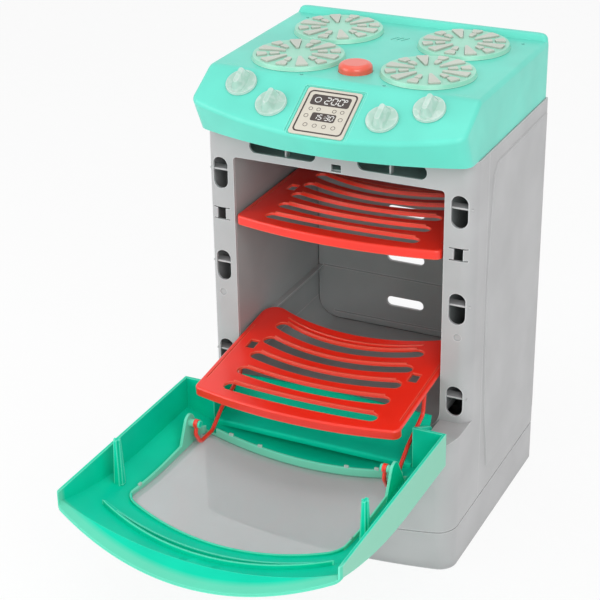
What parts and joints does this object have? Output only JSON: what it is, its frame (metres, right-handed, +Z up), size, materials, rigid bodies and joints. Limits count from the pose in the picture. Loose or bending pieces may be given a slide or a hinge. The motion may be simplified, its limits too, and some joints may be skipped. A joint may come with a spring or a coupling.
{
  "type": "toy oven",
  "caption": "Free-standing toy oven with hob lid, turning knobs, a drop-down door with a clear window, and slotted racks, one drawn out by the door's link arms",
  "frame": {"origin": "on the floor, under the middle of the cabinet's front face", "axes": "+X right seen from the front, +Y to the back, +Z up; the door is stored open"},
  "size_m": [0.303, 0.571, 0.519],
  "materials": {
    "mint_plastic": "glossy moulded mint",
    "teal_plastic": "glossy moulded green-teal",
    "pale_green_plastic": "satin pale green",
    "grey_plastic": "satin light grey",
    "red_plastic": "glossy red",
    "beige_plastic": "satin warm beige",
    "clear_plastic": "clear colourless plastic",
    "display_print": "printed cream panel",
    "board_green": "circuit board",
    "dark_plastic": "plain black",
    "screw_steel": "zinc-plated"
  },
  "bodies": {
    "cabinet": {"base_plinth": "grey_plastic", "front_frame": "grey_plastic", "side_panel_left": "grey_plastic", "side_panel_right": "grey_plastic", "back_panel": "grey_plastic", "cavity_floor": "grey_plastic", "cavity_ceiling": "grey_plastic", "liner_left": "grey_plastic", "liner_right": "grey_plastic", "hob_top": "mint_plastic", "hob_base": "grey_plastic", "burner_disc_1": "pale_green_plastic", "burner_disc_2": "pale_green_plastic", "burner_disc_3": "pale_green_plastic", "burner_disc_4": "pale_green_plastic", "burner_grate_1": "beige_plastic", "burner_grate_2": "beige_plastic", "burner_grate_3": "beige_plastic", "burner_grate_4": "beige_plastic", "display_panel": "display_print", "circuit_board": "board_green", "speaker": "dark_plastic", "battery_box": "dark_plastic", "battery_cover": "mint_plastic", "hob_screws": "screw_steel", "back_screws": "screw_steel"},
    "door": {"door_frame": "teal_plastic", "door_window": "clear_plastic"},
    "link_arms": {"link_arm_left": "red_plastic", "link_arm_right": "red_plastic"},
    "lower_rack": {"lower_rack": "red_plastic"},
    "upper_rack": {"upper_rack": "red_plastic"},
    "knob_1": {"knob_1": "clear_plastic"},
    "knob_2": {"knob_2": "clear_plastic"},
    "knob_3": {"knob_3": "clear_plastic"},
    "knob_4": {"knob_4": "clear_plastic"},
    "start_button": {"start_button": "red_plastic"}
  },
  "joints": [
    {"name": "door_hinge", "type": "hinge", "parent": "cabinet", "child": "door", "pos_m": [0, -0.0315, 0.151], "axis": [1, 0, 0], "range_deg": [-90, 0]},
    {"name": "link_arm_pegs", "type": "hinge", "parent": "door", "child": "link_arms", "pos_m": [0, -0.119, 0.162], "axis": [1, 0, 0], "range_deg": [0, 52]},
    {"name": "lower_rack_pins", "type": "hinge", "parent": "link_arms", "child": "lower_rack", "pos_m": [0, -0.0145, 0.20128], "axis": [1, 0, 0], "range_deg": [0, 33]},
    {"name": "upper_rack_slide", "type": "slide", "parent": "cabinet", "child": "upper_rack", "axis": [0, -1, 0], "range_m": [0, 0.11]},
    {"name": "knob_1_turn", "type": "hinge", "parent": "cabinet", "child": "knob_1", "pos_m": [-0.102, -0.0056, 0.49972], "axis": [0, -0.5045, 0.8634], "continuous": true},
    {"name": "knob_2_turn", "type": "hinge", "parent": "cabinet", "child": "knob_2", "pos_m": [-0.06, -0.0232, 0.48943], "axis": [0, -0.5045, 0.8634], "continuous": true},
    {"name": "knob_3_turn", "type": "hinge", "parent": "cabinet", "child": "knob_3", "pos_m": [0.06, -0.0232, 0.48943], "axis": [0, -0.5045, 0.8634], "continuous": true},
    {"name": "knob_4_turn", "type": "hinge", "parent": "cabinet", "child": "knob_4", "pos_m": [0.102, -0.0056, 0.49972], "axis": [0, -0.5045, 0.8634], "continuous": true},
    {"name": "start_button_press", "type": "slide", "parent": "cabinet", "child": "start_button", "axis": [0, 0, -1], "range_m": [0, 0.003], "stiffness_N_per_m": 300, "springref_m": -0.001}
  ],
  "couplings": [
    {"joint": "link_arm_pegs", "follows": "door_hinge", "ratio": -0.57351},
    {"joint": "lower_rack_pins", "follows": "door_hinge", "ratio": -0.35982}
  ]
}
